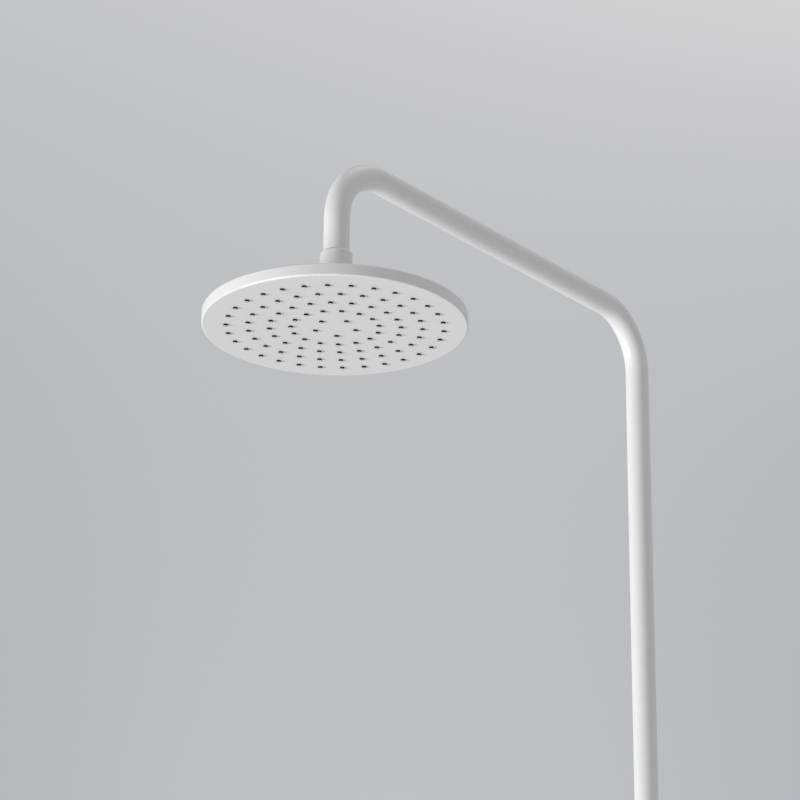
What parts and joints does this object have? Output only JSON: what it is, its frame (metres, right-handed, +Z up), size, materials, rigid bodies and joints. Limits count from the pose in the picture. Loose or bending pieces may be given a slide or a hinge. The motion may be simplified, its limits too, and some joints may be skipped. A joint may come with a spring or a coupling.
{
  "type": "shower rail set",
  "caption": "Wall-mounted shower rail set: bent riser tube with a round overhead spray head on a ball joint, a wall bracket, a sliding handset holder and a diverter with hose outlet.",
  "frame": {"origin": "on the water inlet's axis, in the plane of the finished wall", "axes": "+Z up, +Y into the wall, -Y to the room, +X to the right of a person who faces the wall"},
  "size_m": [0.25, 0.711, 1.1466],
  "materials": {
    "white_metal": "satin white powder coat",
    "white_face": "satin white paint on moulded plastic",
    "white_plastic": "satin white moulded plastic",
    "nozzle_rubber": "black rubber, nub tips white",
    "brass": "turned",
    "steel": "plain stainless",
    "black_rubber": "moulded",
    "natural_plastic": "natural acetal",
    "ceramic": "lapped ceramic"
  },
  "bodies": {
    "column": {"ball_stem": "white_metal", "bracket_body": "white_metal", "bracket_bush": "natural_plastic", "bracket_screw": "steel", "cartridge_housing": "natural_plastic", "disc_seal": "black_rubber", "filter_washer": "black_rubber", "fixed_disc": "ceramic", "flow_regulator": "natural_plastic", "foot_insert": "brass", "foot_screw": "steel", "foot_seals": "black_rubber", "gland_nut": "brass", "gooseneck_tube": "white_metal", "hub_screw": "steel", "inlet_filter": "natural_plastic", "inlet_nipple": "brass", "joint_seals": "black_rubber", "joint_spigot": "brass", "lower_gasket": "black_rubber", "lower_rosette": "white_metal", "neck_tail": "brass", "outlet_nipple": "brass", "rail_tube": "white_metal", "regulator_ring": "black_rubber", "upper_gasket": "black_rubber", "upper_rosette": "white_metal", "valve_body": "white_metal", "valve_cage": "natural_plastic", "valve_spring": "steel", "wall_plate": "steel"},
    "ball_ring": {"ball_liner": "natural_plastic"},
    "seat": {"seat_rings": "natural_plastic"},
    "head": {"face_shell": "white_face", "cover_seal": "black_rubber", "nozzle_mat": "nozzle_rubber", "jet_plate": "natural_plastic", "cover_screws": "steel", "back_cover": "white_face", "swivel_nut": "white_metal"},
    "carriage": {"glide_rings": "natural_plastic"},
    "slider": {"slider_body": "white_plastic", "slider_base": "white_plastic", "release_spring": "steel", "pivot_screw": "steel", "pivot_washer": "natural_plastic"},
    "release": {"release_yoke": "white_plastic", "brake_pad": "black_rubber"},
    "holder": {"cradle": "white_plastic"},
    "control": {"knob": "white_metal", "knob_lever": "white_metal", "knob_screw": "steel", "spindle": "brass", "spindle_seal": "black_rubber", "turning_disc": "ceramic"},
    "check": {"poppet": "natural_plastic", "poppet_seal": "black_rubber"}
  },
  "joints": [
    {"name": "head_nod", "type": "hinge", "parent": "column", "child": "ball_ring", "pos_m": [0, -0.57, 0.934], "axis": [1, 0, 0], "range_deg": [-12, 12]},
    {"name": "head_roll", "type": "hinge", "parent": "ball_ring", "child": "seat", "pos_m": [0, -0.57, 0.934], "axis": [0, 1, 0], "range_deg": [-12, 12]},
    {"name": "head_spin", "type": "hinge", "parent": "seat", "child": "head", "pos_m": [0, -0.57, 0.934], "axis": [0, 0, 1], "continuous": true},
    {"name": "slider_slide", "type": "slide", "parent": "column", "child": "carriage", "axis": [0, 0, 1], "range_m": [-0.165, 0.155]},
    {"name": "slider_turn", "type": "hinge", "parent": "carriage", "child": "slider", "pos_m": [0, -0.06, 0.25], "axis": [0, 0, 1], "range_deg": [-100, 45]},
    {"name": "holder_tilt", "type": "hinge", "parent": "slider", "child": "holder", "pos_m": [0.0456, -0.06, 0.25], "axis": [1, 0, 0], "range_deg": [-15, 45]},
    {"name": "release_press", "type": "slide", "parent": "slider", "child": "release", "axis": [1, 0, 0], "range_m": [0, 0.002], "stiffness_N_per_m": 1500, "springref_m": -0.002, "deforming": ["release_spring"]},
    {"name": "control_turn", "type": "hinge", "parent": "column", "child": "control", "pos_m": [0, -0.11, 0], "axis": [0, 1, 0], "range_deg": [0, 180]},
    {"name": "check_open", "type": "slide", "parent": "column", "child": "check", "axis": [0, 0, -1], "range_m": [0, 0.003], "stiffness_N_per_m": 300, "springref_m": -0.004, "deforming": ["valve_spring"]}
  ]
}
